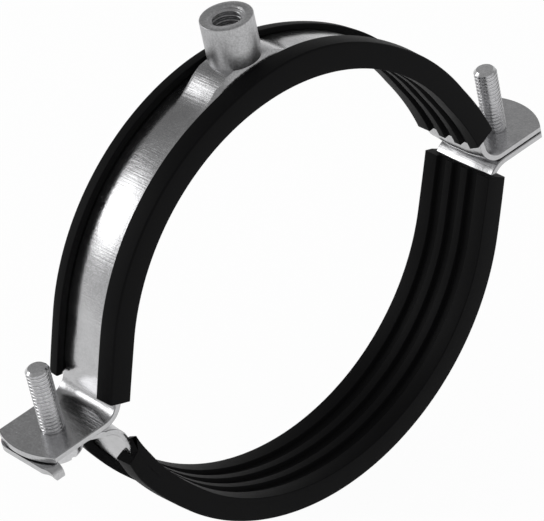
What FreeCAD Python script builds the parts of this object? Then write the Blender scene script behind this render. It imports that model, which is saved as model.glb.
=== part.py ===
import FreeCAD, Part
import math
import os

import Sketcher
from FreeCAD import Placement, Rotation, Vector

# A rubber lined pipe clamp: two pressed steel halves, each with a rubber liner, drawn together
# by two side screws, and hung from a threaded boss on the upper half.
# X runs across the ears, Y along the pipe, Z up along the boss. The origin is the centre of the
# upper half's arc. Sizes are in millimetres and degrees.

doc = FreeCAD.newDocument("pipe_clamp")
sheet = doc.addObject("Spreadsheet::Sheet", "Sizes")

drivingSizes = [
    ("pipeDiameter", 112.0),       # across the rubber lands of the upper half
    ("lowerSpread", 0.5),          # how much wider the lower half is bent, on the radius
    ("straightFrom", 20.0),        # angle above the level where the arc turns into straight legs
    ("closeUp", 5.0),              # how far the halves are drawn past a full circle
    ("earGap", 0.4),               # left between the ears when closed
    ("bandWidth", 20.0),
    ("steelThickness", 1.5),
    ("upperEarLevel", 2.1),        # top of the upper ears above the arc's centre
    ("bendMiddle", 1.0),           # inner radius of the ear bend in its pressed middle
    ("bendEdge", 4.7),             # inner radius of the ear bend at the sheet's edges
    ("bendBlend", 2.2),            # width over which the one bend turns into the other
    ("screwFromLeg", 9.8669),      # screw's axis beyond the corner of the upper leg and its ear
    ("earBeyondScrew", 10.1),      # from the screw's axis to the ear's end
    ("earRound", 16.5),            # radius of a rounded ear end
    ("earCorner", 2.5),            # corner of the lower left ear, whose end is straight
    ("latchSetBack", 2.3),         # how far that ear's front edge lies behind the sheet's edge
    ("latchRamp", 2.5),            # length over which the edge steps back beside the bend
    ("latchMouth", 2.2),           # how far the screw's way out widens towards the front
    ("hookOffset", 6.5),           # from the screw's axis to the hook
    ("hookStart", 1.4),            # where the hook starts to bend, behind the sheet's edge
    ("hookBend", 0.7),             # its inner radius
    ("hookDrop", 1.8),             # how far it hangs below the ear
    ("screwDiameter", 5.9),
    ("threadClearance", 0.05),     # screw in the upper ear, on the radius
    ("passClearance", 0.35),       # screw in the lower ear, on the radius
    ("screwLength", 20.6),
    ("screwTip", 0.7),
    ("headDiameter", 12.0),
    ("headHeight", 4.4),
    ("headCrown", 2.7),            # how far down the domed part of the head starts
    ("headFlat", 7.0),             # diameter of the flat end of the dome
    ("slotWidth", 1.4),
    ("slotDepth", 1.5),
    ("linerWeb", 2.45),            # rubber between the pipe and the steel
    ("grooveDepth", 1.2),
    ("grooveDraft", 0.3),          # how much a groove narrows towards its floor, each side
    ("middleGroove", 3.3),         # widths of the grooves and of the lands between them
    ("sideGroove", 3.4),
    ("innerLand", 2.2),
    ("sideWall", 1.3),             # rubber beyond the sheet's edges
    ("channelWidth", 13.0),        # between the lips, where the steel shows
    ("channelFoot", 14.4),         # the same at the steel: the lips lean over a little
    ("lipHeight", 2.2),            # lip above the steel at the channel
    ("lipFall", 0.3),              # how far the lip slopes down to its outer edge
    ("lipCorner", 0.6),
    ("upperWebRight", 12.0),       # how far each liner runs down the straight legs
    ("upperWebLeft", 15.4),
    ("upperLipRight", 10.6),
    ("upperLipLeft", 14.9),
    ("lowerWebRight", 14.4),
    ("lowerWebLeft", 11.2),
    ("lowerLipRight", 14.0),
    ("lowerLipLeft", 5.0),
    ("seatHeight", 3.7),           # raised seat above the band's top
    ("seatWidth", 12.6),           # along the pipe, between the lips
    ("seatFlat", 14.0),            # across the ears, under the boss
    ("seatReach", 33.0),           # across the ears, where the seat runs out into the arc
    ("seatSink", 0.7),             # how deep in the sheet it runs out
    ("bossDiameter", 12.9),
    ("bossHeight", 11.0),
    ("bossBore", 6.8),
    ("bossMouth", 8.4),            # the bore's countersunk mouth
    ("bossEdge", 0.3),
]
# The screws' distance from the middle follows from the ring's size.
upperSheet = "(pipeDiameter / 2 + linerWeb + steelThickness)"
lean = "(straightFrom * 1 deg)"
screwPlace = (f"={upperSheet} * cos({lean}) + ({upperSheet} * sin({lean}) - upperEarLevel) * tan({lean})"
              " + screwFromLeg")
for row, (alias, size) in enumerate(drivingSizes + [("screwOffset", screwPlace)], start=1):
    sheet.set(f"A{row}", alias)
    sheet.set(f"B{row}", str(size))
    sheet.setAlias(f"B{row}", alias)
doc.recompute()

upperLand = "(Sizes.pipeDiameter / 2)"
lowerLand = "(Sizes.pipeDiameter / 2 + Sizes.lowerSpread)"
upperLevel = "Sizes.upperEarLevel"
lowerEarTop = "(Sizes.upperEarLevel - Sizes.steelThickness - Sizes.earGap)"
lowerLevel = f"(Sizes.closeUp - {lowerEarTop} + Sizes.steelThickness)"


# The sheet's inner and outer radius, from the radius of the rubber lands inside it.
def sheetInner(land):
    return f"({land} + Sizes.linerWeb)"


def sheetOuter(land):
    return f"({land} + Sizes.linerWeb + Sizes.steelThickness)"


straight = "(Sizes.straightFrom * 1 deg)"
seatTop = f"({sheetOuter(upperLand)} + Sizes.seatHeight)"


def value(expression):
    result = sheet.evalExpression(expression)
    return float(getattr(result, "Value", result))


def originPlane(body, role):
    return next(feature for feature in body.Origin.OriginFeatures if feature.Role == role)


def newSketch(body, name, role, height=None):
    sketch = body.newObject("Sketcher::SketchObject", name)
    sketch.AttachmentSupport = [(originPlane(body, role), "")]
    sketch.MapMode = "FlatFace"
    if height:
        sketch.setExpression("AttachmentOffset.Base.z", height)
    return sketch


# A section across the band where its arc ends: it is turned about the pipe's axis.
def legSketch(body, name, side):
    sketch = newSketch(body, name, "YZ_Plane")
    sketch.AttachmentOffset = Placement(Vector(0, 0, 0), Rotation(Vector(side, 0, 0), 70))
    sketch.setExpression("AttachmentOffset.Rotation.Angle", f"90 deg - {straight}")
    return sketch


# An outline is a list of corners, each two expressions. A corner may carry a third item, the
# radius of the arc to the next corner: positive turns anticlockwise, negative clockwise.
def drawOutline(sketch, corners):
    count = len(corners)
    places = [Vector(value(corner[0]), value(corner[1]), 0) for corner in corners]
    starts = []
    for index, corner in enumerate(corners):
        here, there = places[index], places[(index + 1) % count]
        if len(corner) == 2:
            edge = sketch.addGeometry(Part.LineSegment(here, there), False)
            starts.append((edge, 1, 2))
            continue
        sign, radius = corner[2]
        size = value(radius)
        chord = there - here
        across = Vector(-chord.y, chord.x, 0).normalize() * sign
        rise = math.sqrt(size ** 2 - (chord.Length / 2) ** 2)
        centre = here + chord / 2 + across * rise
        angles = [math.atan2(point.y - centre.y, point.x - centre.x) for point in (here, there)]
        if sign < 0:
            angles.reverse()
        if angles[1] < angles[0]:
            angles[1] += 2 * math.pi
        circle = Part.Circle(centre, Vector(0, 0, 1), size)
        edge = sketch.addGeometry(Part.ArcOfCircle(circle, *angles), False)
        starts.append((edge, 1, 2) if sign > 0 else (edge, 2, 1))
    for index, (edge, start, _) in enumerate(starts):
        before, _, end = starts[index - 1]
        sketch.addConstraint(Sketcher.Constraint("Coincident", before, end, edge, start))
    for index, corner in enumerate(corners):
        edge, start, _ = starts[index]
        for kind, place, expression in (("DistanceX", places[index].x, corner[0]),
                                        ("DistanceY", places[index].y, corner[1])):
            held = sketch.addConstraint(Sketcher.Constraint(kind, -1, 1, edge, start, place))
            sketch.setExpression(f"Constraints[{held}]", expression)
        if len(corner) == 3:
            radius = corner[2][1]
            held = sketch.addConstraint(Sketcher.Constraint("Radius", edge, value(radius)))
            sketch.setExpression(f"Constraints[{held}]", radius)


def drawCircle(sketch, x, y, diameter):
    circle = Part.Circle(Vector(value(x), value(y), 0), Vector(0, 0, 1), value(diameter) / 2)
    edge = sketch.addGeometry(circle, False)
    for kind, place in (("DistanceX", x), ("DistanceY", y)):
        held = sketch.addConstraint(Sketcher.Constraint(kind, -1, 1, edge, 3, value(place)))
        sketch.setExpression(f"Constraints[{held}]", place)
    held = sketch.addConstraint(Sketcher.Constraint("Diameter", edge, value(diameter)))
    sketch.setExpression(f"Constraints[{held}]", diameter)


def rectangle(left, right, bottom, top):
    return [(left, bottom), (right, bottom), (right, top), (left, top)]


def addTurn(body, kind, name, sketch, axis, angles=None):
    turn = body.newObject(kind, name)
    turn.Profile = sketch
    turn.ReferenceAxis = (sketch, [axis])
    if angles:
        turn.Type = "TwoAngles"
        turn.setExpression("Angle", angles[0])
        turn.setExpression("Angle2", angles[1])
    return turn


def addThroughCut(body, name, sketch):
    cut = body.newObject("PartDesign::Pocket", name)
    cut.Profile = sketch
    cut.Type = "ThroughAll"
    cut.Midplane = True
    return cut


# The sheet's section through one ear: from the end of the arc straight down the leg, round the
# bend and out along the ear.
def earSection(land, level, bend):
    angle = straight
    steelInner, steelOuter = sheetInner(land), sheetOuter(land)
    along = f"({steelOuter} * cos({angle}))"
    up = f"({steelOuter} * sin({angle}))"
    corner = f"({along} + ({up} - {level}) * tan({angle}))"
    trim = f"({bend} * tan((90 deg - {angle}) / 2))"
    bendTop = (f"{corner} - {trim} * sin({angle})", f"{level} + {trim} * cos({angle})")
    bendFoot = f"{corner} + {trim}"
    thick = "Sizes.steelThickness"
    under = f"{level} - {thick}"
    reach = "Sizes.screwOffset + Sizes.earBeyondScrew"
    return [
        (f"{steelInner} * cos({angle})", f"{steelInner} * sin({angle})"),
        (f"{bendTop[0]} - {thick} * cos({angle})", f"{bendTop[1]} - {thick} * sin({angle})",
         (1, f"{bend} + {thick}")),
        (bendFoot, under),
        (reach, under),
        (reach, level),
        (bendFoot, level, (-1, bend)),
        bendTop,
        (along, up),
    ]


# Where the widest ear bend ends on the ear.
def bendFootOf(land, level):
    along = f"({sheetOuter(land)} * cos({straight}))"
    up = f"({sheetOuter(land)} * sin({straight}))"
    return (f"({along} + ({up} - {level}) * tan({straight})"
            f" + Sizes.bendEdge * tan((90 deg - {straight}) / 2))")


def makeBand(name, land, level, holeDiameter):
    body = doc.addObject("PartDesign::Body", name)
    strip = newSketch(body, f"{name}_strip", "YZ_Plane")
    drawOutline(strip, rectangle("-Sizes.bandWidth / 2", "Sizes.bandWidth / 2",
                                 sheetInner(land), sheetOuter(land)))
    sweep = f"90 deg - {straight}"
    addTurn(body, "PartDesign::Revolution", f"{name}_arc", strip, "H_Axis", (sweep, sweep))

    stations = [("-Sizes.bandWidth / 2", "Sizes.bendEdge"),
                ("-Sizes.bandWidth / 2 + Sizes.bendBlend", "Sizes.bendMiddle"),
                ("Sizes.bandWidth / 2 - Sizes.bendBlend", "Sizes.bendMiddle"),
                ("Sizes.bandWidth / 2", "Sizes.bendEdge")]
    sections = []
    for number, (station, bend) in enumerate(stations):
        section = newSketch(body, f"{name}_ear_{number}", "XZ_Plane", station)
        drawOutline(section, earSection(land, level, bend))
        sections.append(section)
    ear = body.newObject("PartDesign::AdditiveLoft", f"{name}_ear")
    ear.Profile = sections[0]
    ear.Sections = sections[1:]
    ear.Ruled = True

    holeSketch = newSketch(body, f"{name}_hole_outline", "XY_Plane")
    drawCircle(holeSketch, "Sizes.screwOffset", "0", holeDiameter)
    hole = addThroughCut(body, f"{name}_hole", holeSketch)
    return body, [ear, hole]


def mirrorEar(body, features):
    mirror = body.newObject("PartDesign::Mirrored", f"{body.Name}_other_ear")
    mirror.Originals = features
    mirror.MirrorPlane = (originPlane(body, "YZ_Plane"), [""])
    body.Tip = mirror


# A cut takes the corners off an ear's end, so that it ends in an arc.
def roundEarEnd(body, side):
    past = "(Sizes.bandWidth / 2 + 1)"
    reach = "(Sizes.screwOffset + Sizes.earBeyondScrew)"
    start = f"({reach} - Sizes.earRound + sqrt(Sizes.earRound ^ 2 - {past} ^ 2))"
    beyond = f"({reach} + 1)"
    sketch = newSketch(body, f"{body.Name}_end_outline", "XY_Plane")
    drawOutline(sketch, [(f"{side} * {beyond}", f"-{past}"), (f"{side} * {beyond}", past),
                         (f"{side} * {start}", past, (-side, "Sizes.earRound")),
                         (f"{side} * {start}", f"-{past}")])
    return addThroughCut(body, f"{body.Name}_end", sketch)


# A small cut rounds the back corner of an ear's end and leaves the end straight.
def roundEarCorner(body):
    reach = "(Sizes.screwOffset + Sizes.earBeyondScrew)"
    half = "Sizes.bandWidth / 2"
    corner = "Sizes.earCorner"
    sketch = newSketch(body, f"{body.Name}_corner_outline", "XY_Plane")
    drawOutline(sketch, [(f"{reach} - {corner}", half, (-1, corner)), (reach, f"{half} - {corner}"),
                         (f"{reach} + 1", f"{half} - {corner}"), (f"{reach} + 1", f"{half} + 1"),
                         (f"{reach} - {corner}", f"{half} + 1")])
    return addThroughCut(body, f"{body.Name}_corner", sketch)


# The quick latch of one lower ear: its hole is open to the front, so that the loosened screw can
# swing in, and the corner beyond the opening is bent down as a hook that holds the screw's head.
def makeLatch(body, level, corner):
    reach = "(Sizes.screwOffset + Sizes.earBeyondScrew)"
    front = "Sizes.bandWidth / 2"
    hook = "(Sizes.screwOffset + Sizes.hookOffset)"
    bendLine = f"({front} - Sizes.hookStart)"
    edgeLine = f"({front} - Sizes.latchSetBack)"
    neck = "(Sizes.screwDiameter / 2 + Sizes.passClearance)"
    way = newSketch(body, f"{body.Name}_latch_outline", "XY_Plane")
    mouth = f"(Sizes.screwOffset + {neck})"
    drawOutline(way, [(corner, f"-{front} - 1"), (corner, f"-{front}"),
                      (f"{corner} + Sizes.latchRamp", f"-{edgeLine}"),
                      (f"Sizes.screwOffset - {neck}", f"-{edgeLine}"),
                      (f"Sizes.screwOffset - {neck}", "0"), (mouth, "0"),
                      (mouth, f"-({edgeLine} - Sizes.latchMouth)"),
                      (hook, f"-{bendLine}"), (f"{reach} + 1", f"-{bendLine}"),
                      (f"{reach} + 1", f"-{front} - 1")])
    addThroughCut(body, f"{body.Name}_latch", way)

    thick, bend = "Sizes.steelThickness", "Sizes.hookBend"
    inner = f"-({bendLine} + {bend})"
    outer = f"-({bendLine} + {bend} + {thick})"
    section = newSketch(body, f"{body.Name}_hook_outline", "YZ_Plane", hook)
    drawOutline(section, [(f"-{bendLine} + 0.5", f"{level} - {thick}"), (f"-{bendLine} + 0.5", level),
                          (f"-{bendLine}", level, (-1, bend)), (inner, f"{level} + {bend}"),
                          (inner, f"{level} + Sizes.hookDrop"), (outer, f"{level} + Sizes.hookDrop"),
                          (outer, f"{level} + {bend}", (1, f"{bend} + {thick}")),
                          (f"-{bendLine}", f"{level} - {thick}")])
    bent = body.newObject("PartDesign::Pad", f"{body.Name}_hook")
    bent.Profile = section
    bent.setExpression("Length", f"{reach} - {hook}")
    return bent


# The seat under the boss is a short rib pressed up out of the sheet, so its inside is hollow too.
# Its ends slope down into the arc.
def pressSeat(body):
    outer, thick = sheetOuter(upperLand), "Sizes.steelThickness"
    flat, reach = "(Sizes.seatFlat / 2)", "(Sizes.seatReach / 2)"
    sunk = f"({outer} - Sizes.seatSink)"
    foot = f"sqrt({sunk} ^ 2 - {reach} ^ 2)"
    slope = f"(({reach} - {flat}) / ({seatTop} - {foot}))"
    outside = newSketch(body, "seat_outside", "XZ_Plane")
    drawOutline(outside, [(f"-{reach}", foot, (-1, sunk)), (reach, foot),
                          (flat, seatTop), (f"-{flat}", seatTop)])
    raised = body.newObject("PartDesign::Pad", "seat_raised")
    raised.Profile = outside
    raised.Midplane = True
    raised.setExpression("Length", "Sizes.seatWidth")
    below = f"({foot} - {thick})"
    roof = f"({seatTop} - {thick})"
    inset = f"({flat} - {thick} * (sqrt(1 + {slope} ^ 2) - {slope}))"
    wide = f"({inset} + ({roof} - {below}) * {slope})"
    inside = newSketch(body, "seat_inside", "XZ_Plane")
    drawOutline(inside, [(f"-{wide}", below), (wide, below), (inset, roof), (f"-{inset}", roof)])
    hollow = body.newObject("PartDesign::Pocket", "seat_hollow")
    hollow.Profile = inside
    hollow.Midplane = True
    hollow.setExpression("Length", f"Sizes.seatWidth - 2 * {thick}")
    body.Tip = hollow


# One liner: a grooved web inside the sheet, and lips that wrap its edges, each swept round the
# arc and on down both legs. The lips stop short of the ear bends, the web runs a little further.
def makeLiner(name, land, webLegs, lipLegs):
    body = doc.addObject("PartDesign::Body", name)
    wide = "(Sizes.bandWidth / 2 + Sizes.sideWall)"
    steelInner, steelOuter = sheetInner(land), sheetOuter(land)
    floor = f"{land} + Sizes.grooveDepth"
    middle = "Sizes.middleGroove / 2"
    near = f"({middle} + Sizes.innerLand)"
    far = f"({near} + Sizes.sideGroove)"
    draft = "Sizes.grooveDraft"
    web = [(f"{middle} - {draft}", floor), (middle, land), (near, land), (f"{near} + {draft}", floor),
           (f"{far} - {draft}", floor), (far, land), (wide, land), (wide, steelInner)]

    edge = "Sizes.bandWidth / 2"
    top = f"({steelOuter} + Sizes.lipHeight)"
    shoulder = f"({top} - Sizes.lipFall)"
    corner = "Sizes.lipCorner"
    lip = [(wide, steelInner), (wide, f"{shoulder} - {corner}"), (f"{wide} - {corner}", shoulder),
           ("Sizes.channelWidth / 2", top), ("Sizes.channelFoot / 2", steelOuter),
           (edge, steelOuter), (edge, steelInner)]

    def mirrored(outline):
        return [(f"-({y})", z) for y, z in reversed(outline)]

    for part, outline, legs in (("web", web + mirrored(web), webLegs), ("back_lip", lip, lipLegs),
                                ("front_lip", mirrored(lip), lipLegs)):
        section = newSketch(body, f"{name}_{part}_outline", "YZ_Plane")
        drawOutline(section, outline)
        addTurn(body, "PartDesign::Revolution", f"{name}_{part}", section, "H_Axis",
                [f"90 deg - {straight}"] * 2)
        for word, side, length in (("right", 1, legs[0]), ("left", -1, legs[1])):
            legSection = legSketch(body, f"{name}_{part}_{word}_outline", side)
            drawOutline(legSection, outline)
            leg = body.newObject("PartDesign::Pad", f"{name}_{part}_{word}")
            leg.Profile = legSection
            leg.Reversed = side < 0
            leg.setExpression("Length", length)
    return body


def makeBoss():
    body = doc.addObject("PartDesign::Body", "boss_nut")
    wall = "Sizes.bossDiameter / 2"
    bevel = "Sizes.bossEdge"
    bore = "Sizes.bossBore / 2"
    mouth = "Sizes.bossMouth / 2"
    drop = f"({mouth} - {bore})"
    top = f"({seatTop} + Sizes.bossHeight)"
    outline = newSketch(body, "boss_outline", "XZ_Plane")
    drawOutline(outline, [(bore, seatTop), (f"{wall} - {bevel}", seatTop), (wall, f"{seatTop} + {bevel}"),
                          (wall, f"{top} - {bevel}"), (f"{wall} - {bevel}", top), (mouth, top),
                          (bore, f"{top} - {drop}")])
    addTurn(body, "PartDesign::Revolution", "boss_turned", outline, "V_Axis")
    return body


# A pan head screw, head down, standing on its own axis.
def makeScrew(name, side):
    body = doc.addObject("PartDesign::Body", name)
    shank = "Sizes.screwDiameter / 2"
    seat = f"({lowerEarTop} - Sizes.steelThickness)"
    tip = f"({seat} + Sizes.screwLength)"
    outline = newSketch(body, f"{name}_outline", "XZ_Plane")
    drawOutline(outline, [("0", f"{seat} - Sizes.headHeight"),
                          ("Sizes.headFlat / 2", f"{seat} - Sizes.headHeight"),
                          ("Sizes.headDiameter / 2", f"{seat} - Sizes.headCrown"),
                          ("Sizes.headDiameter / 2", seat), (shank, seat),
                          (shank, f"{tip} - Sizes.screwTip"), (f"{shank} - Sizes.screwTip", tip),
                          ("0", tip)])
    addTurn(body, "PartDesign::Revolution", f"{name}_turned", outline, "V_Axis")
    slotSketch = newSketch(body, f"{name}_slot_outline", "XZ_Plane")
    deep = f"{seat} - Sizes.headHeight"
    drawOutline(slotSketch, rectangle("-Sizes.slotWidth / 2", "Sizes.slotWidth / 2",
                                      f"{deep} - 1", f"{deep} + Sizes.slotDepth"))
    addThroughCut(body, f"{name}_slot", slotSketch)
    body.setExpression("Placement.Base.x", f"{side} * Sizes.screwOffset")
    return body


upperHole = "(Sizes.screwDiameter + 2 * Sizes.threadClearance)"
lowerHole = "(Sizes.screwDiameter + 2 * Sizes.passClearance)"

upperBand, upperEar = makeBand("upper_band", upperLand, upperLevel, upperHole)
mirrorEar(upperBand, [upperEar[0], roundEarEnd(upperBand, 1), upperEar[1]])
pressSeat(upperBand)

lowerBand, lowerEar = makeBand("lower_band", lowerLand, lowerLevel, lowerHole)
mirrorEar(lowerBand, lowerEar)
roundEarCorner(lowerBand)
makeLatch(lowerBand, lowerLevel, bendFootOf(lowerLand, lowerLevel))
lowerBand.Tip = roundEarEnd(lowerBand, -1)

upperLiner = makeLiner("upper_liner", upperLand, ("Sizes.upperWebRight", "Sizes.upperWebLeft"),
                       ("Sizes.upperLipRight", "Sizes.upperLipLeft"))
lowerLiner = makeLiner("lower_liner", lowerLand, ("Sizes.lowerWebLeft", "Sizes.lowerWebRight"),
                       ("Sizes.lowerLipLeft", "Sizes.lowerLipRight"))

# The lower half is built like the upper one, then turned over about the pipe's axis.
for half in (lowerBand, lowerLiner):
    half.Placement = Placement(Vector(0, 0, 0), Rotation(Vector(0, 1, 0), 180))
    half.setExpression("Placement.Base.z", "Sizes.closeUp")

boss = makeBoss()
leftScrew = makeScrew("left_screw", "-1")
rightScrew = makeScrew("right_screw", "1")

doc.recompute()

pieces = [upperBand, boss, upperLiner, lowerBand, lowerLiner, leftScrew, rightScrew]
failed = [item.Name for item in doc.Objects if {"Invalid", "Error"} & set(item.State)]
if failed:
    raise RuntimeError("these did not build: " + ", ".join(failed))
for piece in pieces:
    piece.Label = piece.Name
    if piece.Shape.isNull() or not piece.Shape.isValid() or len(piece.Shape.Solids) != 1:
        raise RuntimeError(piece.Name + " is not one valid solid")

os.makedirs("parts", exist_ok=True)
for piece in pieces:
    piece.Shape.exportStep(f"parts/{piece.Label}.step")
    box = piece.Shape.BoundBox
    print(f"{piece.Label}: volume {piece.Shape.Volume:.0f}, x {box.XMin:.2f} to {box.XMax:.2f}, "
          f"y {box.YMin:.2f} to {box.YMax:.2f}, z {box.ZMin:.2f} to {box.ZMax:.2f}")
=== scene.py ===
import math

import bmesh
import bpy
from mathutils import Euler, Matrix, Vector


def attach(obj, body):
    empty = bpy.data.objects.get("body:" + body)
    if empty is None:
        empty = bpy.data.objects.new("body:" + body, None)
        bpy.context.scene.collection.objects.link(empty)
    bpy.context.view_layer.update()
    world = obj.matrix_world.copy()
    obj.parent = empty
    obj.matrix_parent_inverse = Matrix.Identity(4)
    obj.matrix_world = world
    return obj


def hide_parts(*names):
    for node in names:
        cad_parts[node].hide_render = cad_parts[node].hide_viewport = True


# A rubber lined pipe clamp: two pressed steel halves with rubber liners, two side screws and a
# threaded boss. Lengths are in millimetres and angles in degrees until a mesh is finished.
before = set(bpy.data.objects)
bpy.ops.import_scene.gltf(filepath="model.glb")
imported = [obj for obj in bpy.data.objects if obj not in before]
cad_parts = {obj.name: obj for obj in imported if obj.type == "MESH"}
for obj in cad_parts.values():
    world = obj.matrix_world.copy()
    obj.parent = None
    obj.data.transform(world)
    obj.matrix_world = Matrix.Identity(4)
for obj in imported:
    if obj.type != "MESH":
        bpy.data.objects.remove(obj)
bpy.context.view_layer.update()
scene = bpy.context.scene
metres = 0.001
seamGap, weldGap = 1e-5, 1e-4     # points of a grown mesh that are closer than this become one
nudge = 0.002                     # radians, for slopes and searches along an arc
print("frame loaded")

ring = {
    "land": 56.0,             # inner radius of the upper liner's lands
    "lowerSpread": 0.92,      # how much wider the lower half is bent
    "lowerCentre": 5.0,       # height of the lower arc's centre
    "web": 2.45,              # rubber between the pipe and the sheet
    "thickness": 1.5,         # steel sheet
    "width": 20.0,
    "upperLevel": 2.1,        # top of the upper ears
    "lowerLevel": 0.2,        # top of the lower ears
    "screwOffset": 72.9,
}

# How each end of a half splays outwards: from which angle above the level, how much, with which
# power of the angle, and at most how far. The steel has limits of its own.
flares = {
    "upperLeft": (20.0, 0.0085, 2.0, 9.0),
    "upperRight": (26.0, 0.048, 1.3, 9.0),
    "lowerLeft": (38.0, 0.0186, 1.49, 1.3),
    "lowerRight": (22.0, 0.0085, 2.0, 9.0),
}
steelLimits = {"upperLeft": 0.9, "upperRight": 1.1, "lowerLeft": 1.3, "lowerRight": 0.9}


# One socket of a node tree. Arithmetic on it adds Math nodes, and node() adds any other.
class Socket:
    def __init__(self, tree, socket=None):
        self.tree, self.socket = tree, socket

    def node(self, kind, settings=None, sockets=None, out=0):
        made = self.tree.nodes.new(kind)
        for name, setting in (settings or {}).items():
            setattr(made, name, setting)
        for key, given in (sockets or {}).items():
            if isinstance(given, Socket):
                self.tree.links.new(given.socket, made.inputs[key])
            else:
                made.inputs[key].default_value = given
        return Socket(self.tree, made.outputs[out] if len(made.outputs) else None)

    def maths(self, operation, *given):
        return self.node("ShaderNodeMath", {"operation": operation}, dict(enumerate(given)))

    def __add__(self, other):
        return self.maths("ADD", self, other)

    def __sub__(self, other):
        return self.maths("SUBTRACT", self, other)

    def __rsub__(self, other):
        return self.maths("SUBTRACT", other, self)

    def __mul__(self, other):
        return self.maths("MULTIPLY", self, other)

    def __truediv__(self, other):
        return self.maths("DIVIDE", self, other)

    def __pow__(self, other):
        return self.maths("POWER", self, other)

    __radd__, __rmul__ = __add__, __mul__

    def smooth(self, low, high):
        return self.node("ShaderNodeMapRange", {"interpolation_type": "SMOOTHSTEP"},
                         {"Value": self, "From Min": low, "From Max": high})


def splitVector(graph, vector):
    made = graph.node("ShaderNodeSeparateXYZ", {}, {"Vector": vector}).socket.node
    return [Socket(graph.tree, socket) for socket in made.outputs]


def newTree(name, inputs):
    tree = bpy.data.node_groups.new(name, "GeometryNodeTree")
    for label, kind in inputs.items():
        tree.interface.new_socket(label, in_out="INPUT", socket_type="NodeSocket" + kind)
    tree.interface.new_socket("Geometry", in_out="OUTPUT", socket_type="NodeSocketGeometry")
    given = tree.nodes.new("NodeGroupInput")
    sockets = {socket.name: Socket(tree, socket) for socket in given.outputs if socket.name}
    return Socket(tree), sockets


def finishTree(graph, surface, material):
    real = graph.node("GeometryNodeRealizeInstances", {}, {"Geometry": surface})
    painted = graph.node("GeometryNodeSetMaterial", {}, {"Geometry": real, "Material": material})
    graph.node("NodeGroupOutput", {}, {"Geometry": painted})
    return graph.tree


# A grid that is closed across: its rows run along the piece, its columns round the section.
def wrapGrid(graph, rows, columns):
    mesh = graph.node("GeometryNodeMeshGrid", {}, {"Vertices X": rows, "Vertices Y": columns + 1})
    index = graph.node("GeometryNodeInputIndex")
    row = graph.maths("FLOOR", (index + 0.5) / (columns + 1))
    column = index - row * (columns + 1)
    return mesh, row, graph.maths("FLOORED_MODULO", column, columns)


def placeAndClose(graph, mesh, position):
    placed = graph.node("GeometryNodeSetPosition", {}, {"Geometry": mesh, "Position": position})
    return graph.node("GeometryNodeMergeByDistance", {}, {"Geometry": placed, "Distance": seamGap})


# The points of a scratch object, and the place or the value that one of them carries.
def pointsOf(graph, cloud):
    return graph.node("GeometryNodeObjectInfo", {}, {"Object": cloud}, "Geometry")


def sampled(graph, source, index, attribute=None, kind="FLOAT_VECTOR"):
    if attribute:
        value = graph.node("GeometryNodeInputNamedAttribute", {"data_type": kind},
                           {"Name": attribute})
    else:
        value = graph.node("GeometryNodeInputPosition")
    return graph.node("GeometryNodeSampleIndex", {"data_type": kind, "domain": "POINT"},
                      {"Geometry": source, "Value": value, "Index": index})


# Runs a tree on an empty object and gives back the plain mesh that it makes. Its one material is
# set anew, so that faces added later have it too.
def growMesh(name, tree, sizes):
    host = bpy.data.objects.new(name + "_host", bpy.data.meshes.new(name + "_host"))
    scene.collection.objects.link(host)
    modifier = host.modifiers.new("grow", "NODES")
    modifier.node_group = tree
    for item in tree.interface.items_tree:
        if item.in_out == "INPUT":
            modifier[item.identifier] = sizes[item.name]
    evaluated = host.evaluated_get(bpy.context.evaluated_depsgraph_get())
    mesh = bpy.data.meshes.new_from_object(evaluated)
    host.modifiers.remove(modifier)
    bpy.data.objects.remove(host)
    mesh.name = name
    mesh.materials.clear()
    mesh.materials.append(sizes["Material"])
    for polygon in mesh.polygons:
        polygon.material_index = 0
    return mesh


# A scratch object that only carries points and their values into a tree.
def pointCloud(name, points, values):
    mesh = bpy.data.meshes.new(name)
    mesh.from_pydata(points, [], [])
    for label, numbers in values.items():
        kind = "FLOAT_VECTOR" if isinstance(numbers[0], Vector) else "FLOAT"
        layer = mesh.attributes.new(label, kind, "POINT")
        for item, number in zip(layer.data, numbers):
            if kind == "FLOAT":
                item.value = number
            else:
                item.vector = number
    cloud = bpy.data.objects.new(name, mesh)
    scene.collection.objects.link(cloud)
    return cloud


# Closes the open ends of a grown sweep, merges seams, sets which edges stay sharp, and scales.
def finishMesh(mesh, sharpAngle=35, close=True):
    shape = bmesh.new()
    shape.from_mesh(mesh)
    bmesh.ops.remove_doubles(shape, verts=shape.verts, dist=weldGap)
    if close:
        edges = [edge for edge in shape.edges if edge.is_boundary]
        ends = bmesh.ops.holes_fill(shape, edges=edges, sides=0)["faces"]
        bmesh.ops.triangulate(shape, faces=ends)
    bmesh.ops.recalc_face_normals(shape, faces=shape.faces)
    for edge in shape.edges:
        edge.smooth = edge.is_manifold and edge.calc_face_angle() < math.radians(sharpAngle)
    for face in shape.faces:
        face.smooth = True
    bmesh.ops.scale(shape, vec=(metres,) * 3, verts=shape.verts)
    shape.to_mesh(mesh)
    shape.free()
    return mesh


def addPiece(name, mesh, body, replaced=()):
    piece = bpy.data.objects.new(name, mesh)
    scene.collection.objects.link(piece)
    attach(piece, body)
    if replaced:
        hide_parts(*replaced)


def newMaterial(name):
    material = bpy.data.materials.new(name)
    material.use_nodes = True
    material.node_tree.nodes.clear()
    return material, Socket(material.node_tree)


def output(graph, surface):
    graph.node("ShaderNodeOutputMaterial", {}, {"Surface": surface})


zinc = {
    "colour": 0.6,
    "roughness": 0.22,
    "mottle": 0.21,           # how far spots change the colour
    "streaks": 0.16,          # how far streaks and grain change the roughness
    "grain": 0.1,
    "grainScale": 2200,
    "cloudScale": 260,
    "blue": 1.015,            # the blue of the colour, against its red and green
    "bump": 0.16,
    "bumpDepth": 0.0002,
    "grainHeight": 0.6,       # the heights of grain and clouds, against that of the streaks
    "cloudHeight": 2,
}


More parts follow.
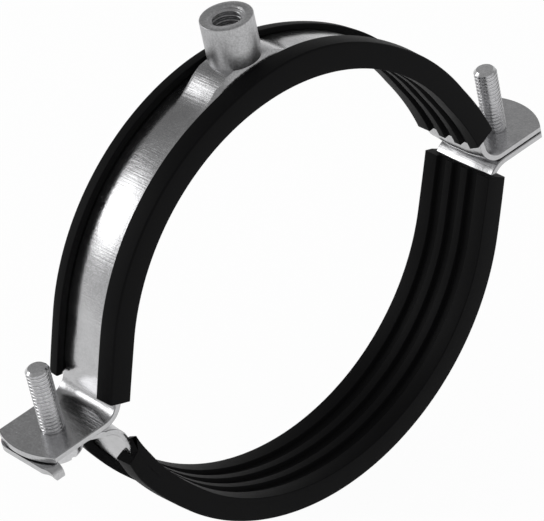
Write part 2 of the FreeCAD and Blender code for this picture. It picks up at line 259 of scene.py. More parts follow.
# Zinc plated steel: satin, with fine streaks across the sheet, clouds and a little grain.
def zincMaterial(name, streakScale, colour=zinc["colour"], roughness=zinc["roughness"],
                 mottle=zinc["mottle"]):
    material, graph = newMaterial(name)
    place = graph.node("ShaderNodeTexCoord", {}, {}, "Object")
    stretched = graph.node("ShaderNodeMapping", {}, {"Vector": place, "Scale": streakScale})

    def noise(vector, scale, detail):
        return graph.node("ShaderNodeTexNoise", {},
                          {"Vector": vector, "Scale": scale, "Detail": detail})

    streak = noise(stretched, 1, 3)
    grain, cloud = noise(place, zinc["grainScale"], 2), noise(place, zinc["cloudScale"], 3)
    rough = roughness + (streak - 0.5) * zinc["streaks"] + (grain - 0.5) * zinc["grain"]
    shade = colour * (1 + ((grain - 0.5) * 2 + (cloud - 0.5)) * mottle)
    paint = graph.node("ShaderNodeCombineColor", {},
                       {"Red": shade, "Green": shade, "Blue": shade * zinc["blue"]})
    relief = streak + grain * zinc["grainHeight"] + cloud * zinc["cloudHeight"]
    bump = graph.node("ShaderNodeBump", {}, {
        "Strength": zinc["bump"], "Distance": zinc["bumpDepth"], "Height": relief})
    output(graph, graph.node("ShaderNodeBsdfPrincipled", {}, {
        "Base Color": paint, "Metallic": 1, "Roughness": rough, "Normal": bump}))
    return material


rubber = {
    "colour": (0.0028, 0.0028, 0.0031, 1),
    "roughness": 0.5,
    "grain": 0.12,            # how far the grain changes it
    "grainScale": 1500,
    "sheen": 0.07,
    "bump": 0.15,
    "bumpDepth": 0.0001,
}


def rubberMaterial(name):
    material, graph = newMaterial(name)
    place = graph.node("ShaderNodeTexCoord", {}, {}, "Object")
    grain = graph.node("ShaderNodeTexNoise", {}, {
        "Vector": place, "Scale": rubber["grainScale"], "Detail": 3})
    bump = graph.node("ShaderNodeBump", {}, {
        "Strength": rubber["bump"], "Distance": rubber["bumpDepth"], "Height": grain})
    output(graph, graph.node("ShaderNodeBsdfPrincipled", {}, {
        "Base Color": rubber["colour"], "Specular IOR Level": rubber["sheen"], "Normal": bump,
        "Roughness": rubber["roughness"] + (grain - 0.5) * rubber["grain"]}))
    return material


sheetZinc = zincMaterial("zinc_sheet", (2500, 60, 2500))
turnedZinc = zincMaterial("zinc_turned", (900, 900, 200), colour=0.5, roughness=0.36, mottle=0.42)
screwZinc = zincMaterial("zinc_screw", (900, 900, 900), colour=0.74, roughness=0.2)
blackRubber = rubberMaterial("black_rubber")
print("materials made")

band = {
    "upperBend": 3.0,         # inner radius of the ear bend in its pressed middle
    "upperBendEdge": 4.7,     # and at the sheet's edges
    "lowerBend": 4.2,
    "lowerBendEdge": 5.6,
    "blendWidth": 7.5,        # width over which one turns into the other
    "leftReach": 83.4,        # ear ends from the middle
    "rightReach": 83.8,
    "edgeRound": 0.3,         # rounding of the sheared edges
    "crown": 0.6,             # how far the sheet bulges between the lips
    "crownWidth": 7.5,
    "crownFade": 8,           # in how many steps of the arc it fades before the bend
    "legTop": 30,             # angle from which the leg's end is looked for, downwards
    "arcSteps": 50,
    "bendSteps": 10,
    "earSteps": 12,
    "rowWidth": 0.8,          # between the lines of points along the sheet
    "rows": 10,               # of them on either side of the middle
    "hookRowWidth": 0.15,     # and the finer ones near each edge, where the hook is bent
    "hookRows": 8,
}

# An ear's end: its rounding, half its straight part, and how far its middle lies from the sheet's.
earEnds = {"square": (4.5, 6.5, -1.0), "left": (21.0, 0.0, 1.0), "right": (19.0, 0.0, 2.5)}

# The radii of the screw holes, and the punch that makes them.
holes = {"upper": 3.0, "lower": 3.3, "sides": 48, "punchLength": 30}

# The lower left ear's way for the screw, open to the front, and its front corner, which is bent
# down as a hook. Places are measured outwards from the clamp's middle, or to the front from the
# sheet's middle.
latch = {
    "neck": 3.3,              # half the way's width beside the screw
    "neckCorner": 0.6,        # bevel of the corner before it
    "setBack": 2.3,           # how far the ear's front edge is cut back
    "edgeClearance": 0.1,
    "rampStart": 65.3,        # where that cut begins, and how long it slopes
    "ramp": 3.4,
    "mouth": 2.2,             # how much deeper the way is at its outer corner
    "front": 14,              # a place in front of the whole ear
    "punchFrom": -8,          # the heights between which the way is cut
    "punchTo": 1,
    "hookFrom": 79.4,         # where the hook begins, outwards and to the front
    "hookStart": 8.6,
    "hookBend": 0.9,          # its inner radius
    "hookStretch": 2.6,       # how much longer the bent corner is than the flat one
    "hookEar": 0.4,           # share of the ear past which it may be bent
    "hookTaper": 0.3,         # how fast the hook's end falls back, and at most how far
    "hookCutBack": 1.0,
}

# The rib that is pressed up under the boss and fades into the arc.
rib = {
    "near": 6.0,              # full up to this far on either side of the boss
    "far": 16.0,              # and gone from here on
    "top": 4.8,               # half its width at the top and at the foot
    "foot": 6.9,
    "level": 63.65,           # height of its flat top, on which the boss stands
    "most": 3.9,              # how far it may rise from the arc
    "arcOnly": 40,            # no rib below this height
}


def flareAt(flare, degrees):
    start, amount, power, limit = flare
    return min(limit, amount * max(0.0, start - degrees) ** power)


# A place on the splayed arc, and its outward normal.
def arcPlace(outer, flare, turn):
    def place(angle):
        radius = outer + flareAt(flare, math.degrees(angle))
        return Vector((radius * math.cos(angle), radius * math.sin(angle)))

    here, step = place(turn), place(turn + nudge) - place(turn - nudge)
    return here, Vector((step.y, -step.x)).normalized()


# One side of the sheet's outer line, from the top of the arc to the ear's end: place, outward
# normal, how much of the ear lies behind it, and how much of the crown it has. The leg ends where
# the widest bend has room.
def sheetLine(outer, level, bend, widest, flare, reach):
    angle = math.radians(band["legTop"])
    while True:
        here, normal = arcPlace(outer, flare, angle)
        lean = math.atan2(normal.y, normal.x)
        if (here.y - level) / math.cos(lean) < widest * math.tan((math.pi / 2 - lean) / 2):
            break
        angle -= nudge
    line = []
    for step in range(band["arcSteps"] + 1):
        turn = math.pi / 2 + (angle - math.pi / 2) * step / band["arcSteps"]
        here, normal = arcPlace(outer, flare, turn)
        crown = min(1, (band["arcSteps"] - step) / band["crownFade"])
        line.append((here.x, here.y, normal.x, normal.y, 0, crown))
    corner = here.x + (here.y - level) * math.tan(lean)
    centre = (corner + bend * math.tan((math.pi / 2 - lean) / 2), level + bend)
    for step in range(band["bendSteps"] + 1):
        turn = lean + (math.pi / 2 - lean) * step / band["bendSteps"]
        line.append((centre[0] - bend * math.cos(turn), centre[1] - bend * math.sin(turn),
                     math.cos(turn), math.sin(turn), 0, 0))
    for step in range(1, band["earSteps"] + 1):
        share = step / band["earSteps"]
        line.append((centre[0] + (reach - centre[0]) * share, level, 0, 1, share, 0))
    return line


def sheetPath(name, outer, level, widest, half):
    places, values = [], {"side": [], "edgePlace": [], "edgeSide": [], "ear": [], "crown": []}
    for sign, word in ((-1, "Left"), (1, "Right")):
        flare = flares[half + word][:3] + (steelLimits[half + word],)
        middle, edge = (sheetLine(outer, level, bend, widest, flare, band[word.lower() + "Reach"])
                        for bend in (band[half + "Bend"], widest))
        order = range(len(middle) - 1, 0, -1) if sign < 0 else range(len(middle))
        for step in order:
            x, z, nx, nz, ear, crown = middle[step]
            ex, ez, enx, enz, _, _ = edge[step]
            places.append(Vector((sign * x, 0, z)))
            values["side"].append(Vector((sign * nx, 0, nz)))
            values["edgePlace"].append(Vector((sign * ex, 0, ez)))
            values["edgeSide"].append(Vector((sign * enx, 0, enz)))
            values["ear"].append(sign * ear)
            values["crown"].append(crown)
    return pointCloud(name, places, values)


# Rounds the corners of a closed outline: each corner is a place and its rounding.
def roundCorners(corners, steps=4):
    points = []
    for index, (x, y, size) in enumerate(corners):
        here = Vector((x, y))
        before = Vector(corners[index - 1][:2]) - here
        after = Vector(corners[(index + 1) % len(corners)][:2]) - here
        if not size:
            points.append(here)
            continue
        half = before.angle(after) / 2
        trim = size / math.tan(half)
        start, end = here + before.normalized() * trim, here + after.normalized() * trim
        inward = (before.normalized() + after.normalized()).normalized()
        middle = here + inward * size / math.sin(half)
        for step in range(steps + 1):
            share = step / steps
            spoke = (start - middle).lerp(end - middle, share).normalized() * size
            points.append(middle + spoke)
    return points


# The sheet's section, with lines of points between its corners so that it can be bent across too.
def sheetSection(name):
    half, deep, size = ring["width"] / 2, ring["thickness"], band["edgeRound"]
    outline = roundCorners([(half, 0, size), (-half, 0, size),
                            (-half, -deep, size), (half, -deep, size)], 3)
    levels = [step * band["rowWidth"] for step in range(-band["rows"], band["rows"] + 1)]
    levels += [side * (latch["hookStart"] + step * band["hookRowWidth"])
               for side in (-1, 1) for step in range(band["hookRows"])]
    points = []
    for index, point in enumerate(outline):
        points.append(point)
        after = outline[(index + 1) % len(outline)]
        if abs(after.x - point.x) > half:
            points += [Vector((y, point.y)) for y in sorted(levels, reverse=after.x < point.x)]
    return pointCloud(name, [Vector((0, point.x, point.y)) for point in points], {})


# Carries the section along the path. The bend's radius grows towards the edges, the arc bulges
# between the lips, and the ears' ends are cut back to their outline.
def sheetTree():
    graph, given = newTree("bent_sheet", {
        "Path": "Object", "Section": "Object", "Path points": "Int", "Section points": "Int",
        "Half width": "Float", "Blend width": "Float", "Crown": "Float", "Rib": "Float",
        "Left rounding": "Float", "Right rounding": "Float", "Left straight": "Float",
        "Right straight": "Float", "Left middle": "Float", "Right middle": "Float",
        "Centre height": "Float", "Turned over": "Float",
        "Hook": "Float", "Hook start": "Float", "Hook bend": "Float", "Hook stretch": "Float",
        "Material": "Material"})
    mesh, row, column = wrapGrid(graph, given["Path points"], given["Section points"])
    path, section = pointsOf(graph, given["Path"]), pointsOf(graph, given["Section"])
    _, across, depth = splitVector(graph, sampled(graph, section, column))
    offset = graph.maths("ABSOLUTE", across)
    blend = offset.smooth(given["Half width"] - given["Blend width"], given["Half width"])

    def blended(first, second):
        return splitVector(graph, graph.node("ShaderNodeMix", {"data_type": "VECTOR"}, {
            0: blend, 4: sampled(graph, path, row, first),
            5: sampled(graph, path, row, second)}, 1))

    placeX, _, placeZ = blended(None, "edgePlace")
    sideX, _, sideZ = blended("side", "edgeSide")
    crown = sampled(graph, path, row, "crown", "FLOAT") * given["Crown"]
    bulge = graph.maths("MINIMUM", offset / band["crownWidth"], 1)
    rise = depth + crown * (0.5 - bulge ** 2)
    ear = sampled(graph, path, row, "ear", "FLOAT")

    def endCut(word):
        rounding = given[word + " rounding"]
        aside = graph.maths("ABSOLUTE", across - given[word + " middle"])
        past = graph.maths("MAXIMUM", aside - given[word + " straight"], 0)
        return rounding - graph.maths("SQRT", graph.maths("MAXIMUM", rounding ** 2 - past ** 2, 0))

    leftEar, rightEar = graph.maths("MINIMUM", ear, 0), graph.maths("MAXIMUM", ear, 0)
    cut = rightEar * endCut("Right") + leftEar * endCut("Left")
    # The front corner of the left ear may be bent over as a hook, about an axis along the ear.
    beyond = graph.maths("MAXIMUM", 0 - across - given["Hook start"], 0) * given["Hook stretch"]
    hooked = graph.maths("GREATER_THAN", beyond, 0) * given["Hook"]
    hooked = hooked * graph.maths("LESS_THAN", ear, -latch["hookEar"])
    neutral = given["Hook bend"] + ring["thickness"] / 2
    turned = graph.maths("MINIMUM", beyond / neutral, math.pi / 2)
    reach = given["Hook bend"] - depth
    hookAcross = 0 - given["Hook start"] - reach * graph.maths("SINE", turned)
    straight = graph.maths("MAXIMUM", beyond - neutral * (math.pi / 2), 0)
    hookRise = given["Hook bend"] - reach * graph.maths("COSINE", turned) + straight
    across = across + (hookAcross - across) * hooked
    rise = rise + (hookRise - depth) * hooked
    taper = graph.maths("MINIMUM", beyond * latch["hookTaper"], latch["hookCutBack"])
    cut = cut + (0 - hooked) * taper
    x = placeX + sideX * rise - cut
    z = placeZ + sideZ * rise
    # The rib under the boss, and the lower half turned over.
    near = 1 - graph.maths("ABSOLUTE", x).smooth(rib["near"], rib["far"])
    flank = 1 - offset.smooth(rib["top"], rib["foot"])
    outer = ring["land"] + ring["web"] + ring["thickness"]
    arc = graph.maths("SQRT", graph.maths("MAXIMUM", outer ** 2 - x * x, 0))
    lift = graph.maths("MINIMUM", rib["level"] - arc, rib["most"]) * near * flank
    z = z + lift * given["Rib"] * graph.maths("GREATER_THAN", z, rib["arcOnly"])
    z = z * (1 - 2 * given["Turned over"]) + given["Centre height"]
    position = graph.node("ShaderNodeCombineXYZ", {}, {"X": x, "Y": across, "Z": z})
    return finishTree(graph, placeAndClose(graph, mesh, position), given["Material"])


def plainMesh(name, shape):
    mesh = bpy.data.meshes.new(name)
    shape.to_mesh(mesh)
    shape.free()
    return mesh


def holePunch(radius):
    shape = bmesh.new()
    for side in (-1, 1):
        middle = Matrix.Translation((side * ring["screwOffset"] * metres, 0, 0))
        bmesh.ops.create_cone(shape, cap_ends=True, segments=holes["sides"],
                              radius1=radius * metres, radius2=radius * metres,
                              depth=holes["punchLength"] * metres, matrix=middle)
    return plainMesh("punch", shape)


# The way by which the loosened left screw swings out of the lower ear, in front of its hole.
def latchPunch():
    front, corner = ring["width"] / 2, latch["neckCorner"]
    edge, beyond = front - latch["setBack"], latch["front"]
    left, right = ring["screwOffset"] - latch["neck"], ring["screwOffset"] + latch["neck"]
    outline = [(latch["rampStart"], beyond), (latch["rampStart"], front + latch["edgeClearance"]),
               (latch["rampStart"] + latch["ramp"], edge), (left - corner, edge),
               (left, edge - corner), (left, 0), (right, 0), (right, edge - latch["mouth"]),
               (latch["hookFrom"], latch["hookStart"]), (latch["hookFrom"], beyond)]
    shape = bmesh.new()
    low, high = ([shape.verts.new((-x * metres, -y * metres, z * metres)) for x, y in outline]
                 for z in (latch["punchFrom"], latch["punchTo"]))
    shape.faces.new(low)
    shape.faces.new(high)
    for index in range(len(outline)):
        after = (index + 1) % len(outline)
        shape.faces.new((low[index], low[after], high[after], high[index]))
    bmesh.ops.recalc_face_normals(shape, faces=shape.faces)
    return plainMesh("latch_way", shape)


def withCut(mesh, cutter):
    piece = bpy.data.objects.new("blank", mesh)
    tool = bpy.data.objects.new("cutter", cutter)
    for item in (piece, tool):
        scene.collection.objects.link(item)
    cut = piece.modifiers.new("cut", "BOOLEAN")
    cut.object, cut.operation, cut.solver = tool, "DIFFERENCE", "EXACT"
    evaluated = piece.evaluated_get(bpy.context.evaluated_depsgraph_get())
    result = bpy.data.meshes.new_from_object(evaluated)
    piece.modifiers.remove(cut)
    for item in (piece, tool):
        bpy.data.objects.remove(item)
    return result


sheetGrower = sheetTree()


# widest is the bend's radius at the sheet's edges, and ends are those of the left and right ear.
# ribShare and hook are 1 where the band has its rib or its hook.
def makeBand(name, land, level, widest, centreHeight, ends, hole, body, ribShare=0.0, hook=0.0):
    outer = land + ring["web"] + ring["thickness"]
    half = name.split("_")[0]
    path = sheetPath(name + "_path", outer, level, widest, half)
    section = sheetSection(name + "_section")
    mesh = growMesh(name, sheetGrower, {
        "Path": path, "Section": section, "Path points": len(path.data.vertices),
        "Section points": len(section.data.vertices), "Half width": ring["width"] / 2,
        "Blend width": band["blendWidth"], "Crown": band["crown"], "Rib": ribShare,
        "Left rounding": ends[0][0], "Left straight": ends[0][1], "Left middle": ends[0][2],
        "Right rounding": ends[1][0], "Right straight": ends[1][1], "Right middle": ends[1][2],
        "Centre height": centreHeight, "Turned over": float(half == "lower"),
        "Hook": hook, "Hook start": latch["hookStart"], "Hook bend": latch["hookBend"],
        "Hook stretch": latch["hookStretch"], "Material": sheetZinc})
    for cloud in (path, section):
        bpy.data.objects.remove(cloud)
    finishMesh(mesh)
    mesh = withCut(mesh, holePunch(hole))
    if hook:
        mesh = withCut(mesh, latchPunch())
    addPiece(name + "_sheet", mesh, body, [name])


lowerLand = ring["land"] + ring["lowerSpread"]
lowerEar = ring["lowerCentre"] - ring["lowerLevel"] + ring["thickness"]
makeBand("upper_band", ring["land"], ring["upperLevel"], band["upperBendEdge"], 0.0,
         (earEnds["left"], earEnds["right"]), holes["upper"], "upper_half", ribShare=1.0)
makeBand("lower_band", lowerLand, lowerEar, band["lowerBendEdge"], ring["lowerCentre"],
         (earEnds["square"], earEnds["right"]), holes["lower"], "lower_half", hook=1.0)
print("bands made")

liner = {
    "groove": 1.2,            # depth of the three grooves between the four lands
    "draft": 0.3,             # how much their sides slope
    "middle": 3.3,            # width of the middle groove, and of the two beside it
    "side": 3.4,
    "landWidth": 2.2,
    "wall": 1.5,              # rubber beyond the sheet's edge
    "frontLip": (6.3, 7.0),   # from the middle to the front lip, at its top and at the steel
    "backLip": (8.2, 8.9),
    "lip": 2.35,              # height of the lips over the sheet
    "lipFall": 0.25,          # and how much lower their outer edge is
    "sheetStep": 0.1,         # height of a line of points just over the sheet's inside
    "rise": (1.1, 78, 30),    # how far the front lip climbs, round which angle, and its reach
    "dip": (1.0, 62, 34),     # and how far the back lip sinks
    "climbFrom": 1,           # height over the sheet's inside from which the lips climb or sink
    "climbOver": 2,
    "thinFrom": 8,            # the lower left web is thinner below these angles
    "thinTo": 21,
    "thinning": 0.5,
    "slantFrom": -7,          # the ends grow in front of this place across the pipe
    "steps": 170,
}
linerRounding = {
    "groove": 0.1, "land": 0.15, "lastLand": 0.2, "heel": 0.25, "crest": 0.5, "lip": 0.25,
}

# Each end of a liner: the angle at the lands, just inside the sheet, just outside it and at the
# lips' top, and its growth per millimetre towards the front wall, inside and outside the sheet.
linerEnds = {
    "upperRight": (6.4, 6.9, 6.9, 7.9, -0.55, -0.55),
    "upperLeft": (4.7, 5.3, 5.3, 6.3, 0.0, 0.0),
    "lowerRight": (6.1, 6.6, 6.6, 8.0, 0.0, 0.0),
    "lowerLeft": (12.5, 12.0, 13.4, 15.0, 0.62, 0.0),
}


# Carries the liner's section round the arc, from each point's first angle to its last.
def linerTree():
    graph, given = newTree("liner_sweep", {
        "Section": "Object", "Section points": "Int", "Steps": "Int", "Centre height": "Float",
        "Rise middle": "Float", "Rise reach": "Float", "Dip middle": "Float", "Dip reach": "Float",
        "Upward": "Float", "Left thinning": "Float",
        "Left from": "Float", "Left amount": "Float", "Left power": "Float",
        "Left limit": "Float", "Right from": "Float", "Right amount": "Float",
        "Right power": "Float", "Right limit": "Float", "Material": "Material"})
    mesh, row, column = wrapGrid(graph, given["Steps"], given["Section points"])
    section = pointsOf(graph, given["Section"])
    _, across, radius = splitVector(graph, sampled(graph, section, column))
    start, end, rise, dip, web = (sampled(graph, section, column, key, "FLOAT")
                                  for key in ("start", "end", "rise", "dip", "web"))
    turn = start + (end - start) * row / (given["Steps"] - 1)
    away = graph.maths("ABSOLUTE", turn - math.pi / 2)
    for word, amount in (("Rise", rise), ("Dip", 0 - dip)):
        aside = graph.maths("ABSOLUTE", turn - given[word + " middle"])
        radius = radius + amount * (1 - aside.smooth(0, given[word + " reach"]))
    level = 90 - away * (180 / math.pi)
    leftSide = graph.maths("GREATER_THAN", turn, math.pi / 2)
    low = 1 - level.smooth(liner["thinFrom"], liner["thinTo"])
    radius = radius + web * given["Left thinning"] * leftSide * low
    for word, share in (("Left", leftSide), ("Right", 1 - leftSide)):
        past = graph.maths("MAXIMUM", given[word + " from"] - level, 0)
        splay = given[word + " amount"] * past ** given[word + " power"]
        radius = radius + graph.maths("MINIMUM", splay, given[word + " limit"]) * share
    position = graph.node("ShaderNodeCombineXYZ", {}, {
        "X": radius * graph.maths("COSINE", turn), "Y": across,
        "Z": radius * graph.maths("SINE", turn) * given["Upward"] + given["Centre height"]})
    return finishTree(graph, placeAndClose(graph, mesh, position), given["Material"])


linerGrower = linerTree()


def linerOutline(land):
    floor, sheet = land + liner["groove"], land + ring["web"]
    outer = sheet + ring["thickness"]
    top = outer + liner["lip"]
    wide, edge = ring["width"] / 2 + liner["wall"], ring["width"] / 2
    middle = liner["middle"] / 2
    near = middle + liner["landWidth"]
    far = near + liner["side"]
    draft, soft = liner["draft"], linerRounding
    sides = []
    for slot, foot in (liner["backLip"], liner["frontLip"]):
        sides.append([
            (middle - draft, floor, soft["groove"]), (middle, land, soft["land"]),
            (near, land, soft["land"]), (near + draft, floor, soft["groove"]),
            (far - draft, floor, soft["groove"]), (far, land, soft["lastLand"]),
            (wide, land, soft["heel"]), (wide, sheet, 0), (wide, sheet + liner["sheetStep"], 0),
            (wide, top - liner["lipFall"], soft["crest"]), (slot, top, soft["lip"]),
            (foot, outer, 0), (edge, outer, 0), (edge, sheet, 0)])
    back, front = sides
    return back + [(-y, r, size) for y, r, size in reversed(front)]


# Each point of the section carries the angles at which its sweep starts and ends, how far it
# climbs or sinks beside the boss, and how thick the web is outside it.
def makeLiner(name, land, centreHeight, upward, thinning, climbs, body):
    half = name.split("_")[0]
    outline = roundCorners(linerOutline(land))
    values = {"start": [], "end": [], "rise": [], "dip": [], "web": []}
    sheet = land + ring["web"]
    lips = ring["thickness"] + liner["lip"]
    for point in outline:
        inside = max(0.0, min(1.0, (point.y - land) / ring["web"]))
        outside = max(0.0, (point.y - sheet) / lips)
        angles = []
        for word in ("Right", "Left"):
            web, inner, outer, lip, webSlant, lipSlant = linerEnds[half + word]
            angle = outer + (lip - outer) * outside if outside else web + (inner - web) * inside
            slant = lipSlant if outside else webSlant
            angles.append(math.radians(angle + slant * min(0, point.x - liner["slantFrom"])))
        values["start"].append(angles[0])
        values["end"].append(math.pi - angles[1])
        height = (point.y - sheet - liner["climbFrom"]) / liner["climbOver"]
        climb = climbs * min(1, max(0, height))
        values["rise"].append(climb * liner["rise"][0] * (point.x < 0))
        values["dip"].append(climb * liner["dip"][0] * (point.x > 0))
        values["web"].append(max(0.0, sheet - point.y))
    places = [Vector((0, point.x, point.y)) for point in outline]
    section = pointCloud(name + "_section", places, values)
    sizes = {"Section": section, "Section points": len(outline), "Steps": liner["steps"],
             "Centre height": centreHeight, "Upward": upward, "Left thinning": thinning,
             "Material": blackRubber}
    for word in ("Rise", "Dip"):
        _, middle, reach = liner[word.lower()]
        sizes[word + " middle"], sizes[word + " reach"] = math.radians(middle), math.radians(reach)
    for word in ("Left", "Right"):
        for key, number in zip(("from", "amount", "power", "limit"), flares[half + word]):
            sizes[f"{word} {key}"] = number
    mesh = growMesh(name, linerGrower, sizes)
    bpy.data.objects.remove(section)
    addPiece(name + "_rubber", finishMesh(mesh, sharpAngle=50), body, [name])


makeLiner("upper_liner", ring["land"], 0.0, upward=1.0, thinning=0.0, climbs=1.0,
          body="upper_half")
makeLiner("lower_liner", lowerLand, ring["lowerCentre"], upward=-1.0,
          thinning=liner["thinning"], climbs=0.0, body="lower_half")
print("liners made")

# A larger steepness widens a thread's root, and a larger crest its top.
thread = {"steepness": 1.35, "crest": 0.2}


# A thread: the column's place in the turn shifts each ridge, so that they climb round the axis.
def threadTree():
    graph, given = newTree("thread", {
        "Radius": "Float", "Depth": "Float", "Pitch": "Float", "Length": "Float", "Runout": "Float",
        "Chamfer": "Float", "Rows": "Int", "Columns": "Int", "Base height": "Float",
        "Side": "Float", "Material": "Material"})
    mesh, row, column = wrapGrid(graph, given["Rows"], given["Columns"])
    share = row / (given["Rows"] - 1)
    along = share * given["Length"]
    turn = column / given["Columns"]
    wave = graph.maths("FRACT", along / given["Pitch"] - turn)
    ridge = graph.maths("ABSOLUTE", wave * 2 - 1)
    valley = (ridge * thread["steepness"] - thread["crest"]).smooth(0, 1)
    fade = along.smooth(0, given["Runout"])
    fade = fade * (given["Length"] - along).smooth(0, given["Runout"])
    radius = given["Radius"] - given["Depth"] * valley * fade
    limit = given["Radius"] - given["Chamfer"] + (given["Length"] - along)
    radius = graph.maths("MINIMUM", radius, limit)
    angle = turn * 2 * math.pi
    position = graph.node("ShaderNodeCombineXYZ", {}, {
        "X": radius * graph.maths("COSINE", angle) + given["Side"],
        "Y": radius * graph.maths("SINE", angle), "Z": along + given["Base height"]})
    return finishTree(graph, placeAndClose(graph, mesh, position), given["Material"])


threadGrower = threadTree()


def threadRows(item, length):
    return int(length / item["pitch"] * item["rowsPerTurn"]) + 1


def circlePoint(radius, turn):
    return radius * math.cos(turn), radius * math.sin(turn)


def arcPoints(centre, radius, first, last, steps):
    turns = [math.radians(first + (last - first) * step / steps) for step in range(steps + 1)]
    spots = [circlePoint(radius, turn) for turn in turns]
    return [(centre[0] + x, centre[1] + y) for x, y in spots]


# Adds turned rings to a grown thread: each profile is a list of radius and height.
def addTurned(mesh, profiles, columns, side):
    shape = bmesh.new()
    shape.from_mesh(mesh)
    for profile in profiles:
        rows = []
        for radius, height in profile:
            steps = range(columns if radius else 1)
            spots = [circlePoint(radius, 2 * math.pi * step / columns) for step in steps]
            rows.append([shape.verts.new((side + x, y, height)) for x, y in spots])
        for low, high in zip(rows, rows[1:]):
            for step in range(columns):
                after = step + 1
                corners = [low[step % len(low)], low[after % len(low)],
                           high[after % len(high)], high[step % len(high)]]
                corners = list(dict.fromkeys(corners))
                if len(corners) > 2:
                    shape.faces.new(corners)
    shape.to_mesh(mesh)
    shape.free()


screw = {
    "radius": 2.95,
    "depth": 0.6,
    "pitch": 1.0,
    "runout": 0.6,
    "length": 20.6,           # from the head's seat to the tip
    "chamfer": 0.75,
    "tipRing": 0.15,          # from the tip's rim to the ring of points inside it
    "head": 6.0,
    "headHeight": 4.4,
    "headEdge": 0.3,          # bevel beside its seat
    "rim": 2.7,               # from the seat to where its dome begins
    "flat": 3.5,              # radius of its flat bottom
    "domeStep": 15,           # degrees
    "columns": 48,
    "rowsPerTurn": 12,
    "slotWidth": 1.4,
    "slotDepth": 1.5,
}


def slotPunch(side, bottom):
    shape = bmesh.new()
    size = (screw["slotWidth"] / 2, screw["head"] + 1, screw["slotDepth"])
    bmesh.ops.create_cube(shape, size=2 * metres)
    bmesh.ops.scale(shape, vec=size, verts=shape.verts)
    bmesh.ops.translate(shape, vec=(side * metres, 0, bottom * metres), verts=shape.verts)
    return plainMesh("slot", shape)


def makeScrew(name, side):
    seat = ring["lowerLevel"] - ring["thickness"]
    columns, bottom = screw["columns"], seat - screw["headHeight"]
    tip = seat + screw["length"]
    mesh = growMesh(name, threadGrower, {
        "Radius": screw["radius"], "Depth": screw["depth"], "Pitch": screw["pitch"],
        "Length": screw["length"], "Runout": screw["runout"], "Chamfer": screw["chamfer"],
        "Rows": threadRows(screw, screw["length"]), "Columns": columns,
        "Base height": seat, "Side": side, "Material": screwZinc})
    rim, edge = seat - screw["rim"], screw["headEdge"]
    head = [(0, bottom)]
    for turn in range(0, 91, screw["domeStep"]):
        across, down = math.sin(math.radians(turn)), math.cos(math.radians(turn))
        head.append((screw["flat"] + (screw["head"] - screw["flat"]) * across,
                     rim - (rim - bottom) * down))
    head += [(screw["head"], seat - edge), (screw["head"] - edge, seat), (screw["radius"], seat)]
    end = screw["radius"] - screw["chamfer"]
    cap = [(end, tip), (end - screw["tipRing"], tip), (0, tip)]
    addTurned(mesh, [head, cap], columns, side)
    finishMesh(mesh, sharpAngle=40, close=False)
    mesh = withCut(mesh, slotPunch(side, bottom))
    addPiece(name + "_threaded", mesh, name + "_body", [name])


for name, sign in (("left_screw", -1), ("right_screw", 1)):
    makeScrew(name, sign * ring["screwOffset"])
print("screws made")

boss = {
    "radius": 6.45,
    "height": 11.2,
    "edge": 0.35,             # rounding of its rims
    "bore": 4.05,             # radius at the thread's crests, and where the thread's mouth opens
    "mouth": 4.45,
    "mouthEdge": (0.1, 0.05), # bevel of its rim, outwards and down
    "depth": 0.65,
    "pitch": 1.25,
    "runout": 0.5,
    "columns": 72,
    "rowsPerTurn": 12,
}


def makeBoss():
    base, top = rib["level"], rib["level"] + boss["height"]
    length = boss["height"] - (boss["mouth"] - boss["bore"])
    columns = boss["columns"]
    mesh = growMesh("boss_nut", threadGrower, {
        "Radius": boss["bore"], "Depth": boss["depth"], "Pitch": boss["pitch"], "Length": length,
        "Runout": boss["runout"], "Chamfer": 0.0, "Columns": columns, "Base height": base,
        "Rows": threadRows(boss, length), "Side": 0.0, "Material": turnedZinc})
    wall, edge = boss["radius"], boss["edge"]
    shell = [(boss["bore"], base), (wall - edge, base)]
    shell += arcPoints((wall - edge, base + edge), edge, -90, 0, 4)[1:]
    shell += arcPoints((wall - edge, top - edge), edge, 0, 90, 5)
    aside, down = boss["mouthEdge"]
    shell += [(boss["mouth"] + aside, top), (boss["mouth"], top - down),
              (boss["bore"], base + length)]
    addTurned(mesh, [shell], columns, 0)
    finishMesh(mesh, sharpAngle=40, close=False)
    addPiece("boss_nut_threaded", mesh, "upper_half", ["boss_nut"])


makeBoss()
print("boss made")

studio = {
    "floorSize": 3000,
    "floorLevel": -73.5,      # below the lower half when it is let right down
    "paper": 0.75,            # the floor's own colour
    "whiteSeen": 0.95,        # how much of it the camera sees as plain white
    "whiteGlossy": 0.15,      # and a reflection, against the camera
    "room": 0.58,             # the room in the metal, and how much darker it is above
    "darker": 0.28,
    "darkerFrom": 0.15,
    "darkerTo": 0.55,
    # Each brighter or darker patch: strength, azimuth, elevation and how far it reaches.
    "patches": ((2.6, -145, 28, 18), (-0.12, 168, 44, 24)),
    "place": (-414.0036, -591.4834, 499.4998),
    "turn": (54.96913, 10.3485, -42.01536),
    "lens": 240.8,
    "sensor": 36,
    "clipEnd": 20000,
}


def rayKinds(graph, *kinds):
    path = graph.node("ShaderNodeLightPath").socket.node.outputs
    return [Socket(graph.tree, path[f"Is {kind} Ray"]) for kind in kinds]


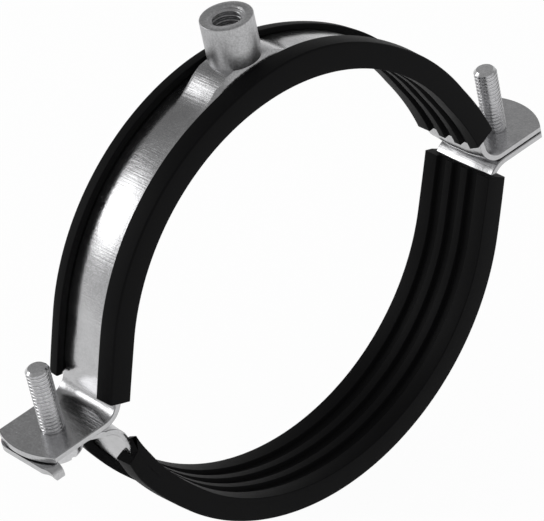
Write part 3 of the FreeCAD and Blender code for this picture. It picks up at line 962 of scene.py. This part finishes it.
# A pale floor that keeps the shadow but looks white to the camera, and less so in the metal.
def makeFloor():
    mesh = bpy.data.meshes.new("floor")
    size, level = studio["floorSize"] * metres, studio["floorLevel"] * metres
    corners = [(x * size, y * size, level) for x, y in ((-1, -1), (1, -1), (1, 1), (-1, 1))]
    mesh.from_pydata(corners, [], [(0, 1, 2, 3)])
    material, graph = newMaterial("floor_paper")
    paper = graph.node("ShaderNodeBsdfDiffuse", {}, {"Color": (studio["paper"],) * 3 + (1,)})
    white = graph.node("ShaderNodeEmission", {}, {"Color": (1, 1, 1, 1), "Strength": 1})
    camera, glossy, transmission = rayKinds(graph, "Camera", "Glossy", "Transmission")
    seen = graph.maths("MAXIMUM", camera, glossy * studio["whiteGlossy"])
    seen = graph.maths("MAXIMUM", seen, transmission) * studio["whiteSeen"]
    output(graph, graph.node("ShaderNodeMixShader", {}, {0: seen, 1: paper, 2: white}))
    mesh.materials.append(material)
    floor = bpy.data.objects.new("floor", mesh)
    scene.collection.objects.link(floor)


makeFloor()


# The photograph's camera, with its place and how it is turned about x, y and z.
def makeCamera():
    camera = bpy.data.objects.new("camera", bpy.data.cameras.new("camera"))
    scene.collection.objects.link(camera)
    turn = Euler([math.radians(angle) for angle in studio["turn"]])
    camera.matrix_world = Matrix.LocRotScale(Vector(studio["place"]) * metres, turn, None)
    camera.data.lens = studio["lens"]
    camera.data.sensor_width = studio["sensor"]
    camera.data.clip_end = studio["clipEnd"] * metres
    scene.camera = camera


makeCamera()


def skyPatch(sky, toward, azimuth, elevation, spread):
    side, height = math.radians(azimuth), math.radians(elevation)
    level = math.cos(height)
    aim = (math.sin(side) * level, -math.cos(side) * level, math.sin(height))
    facing = sky.node("ShaderNodeVectorMath", {"operation": "DOT_PRODUCT"},
                      {0: toward, 1: aim}, "Value")
    return facing.smooth(math.cos(math.radians(spread)), 1)


# The object is lit evenly by a white sky. Its metal shows a grey room instead, which is darker
# above and has one bright window on the left.
def makeSky():
    world = bpy.data.worlds.new("studio")
    world.use_nodes = True
    world.node_tree.nodes.clear()
    sky = Socket(world.node_tree)
    toward = sky.node("ShaderNodeTexCoord", {}, {}, "Generated")
    height = splitVector(sky, toward)[2]
    above = height.smooth(studio["darkerFrom"], studio["darkerTo"])
    room = studio["room"] - studio["darker"] * above
    for strength, azimuth, elevation, spread in studio["patches"]:
        room = room + strength * skyPatch(sky, toward, azimuth, elevation, spread)
    glossy = rayKinds(sky, "Glossy")[0]
    white = sky.node("ShaderNodeBackground", {}, {"Color": (1, 1, 1, 1), "Strength": 1})
    shown = sky.node("ShaderNodeBackground", {}, {"Color": (1, 1, 1, 1), "Strength": room})
    seen = sky.node("ShaderNodeMixShader", {}, {0: glossy, 1: white, 2: shown})
    sky.node("ShaderNodeOutputWorld", {}, {"Surface": seen})
    scene.world = world


makeSky()
scene.view_settings.view_transform = "Standard"
print("studio made")
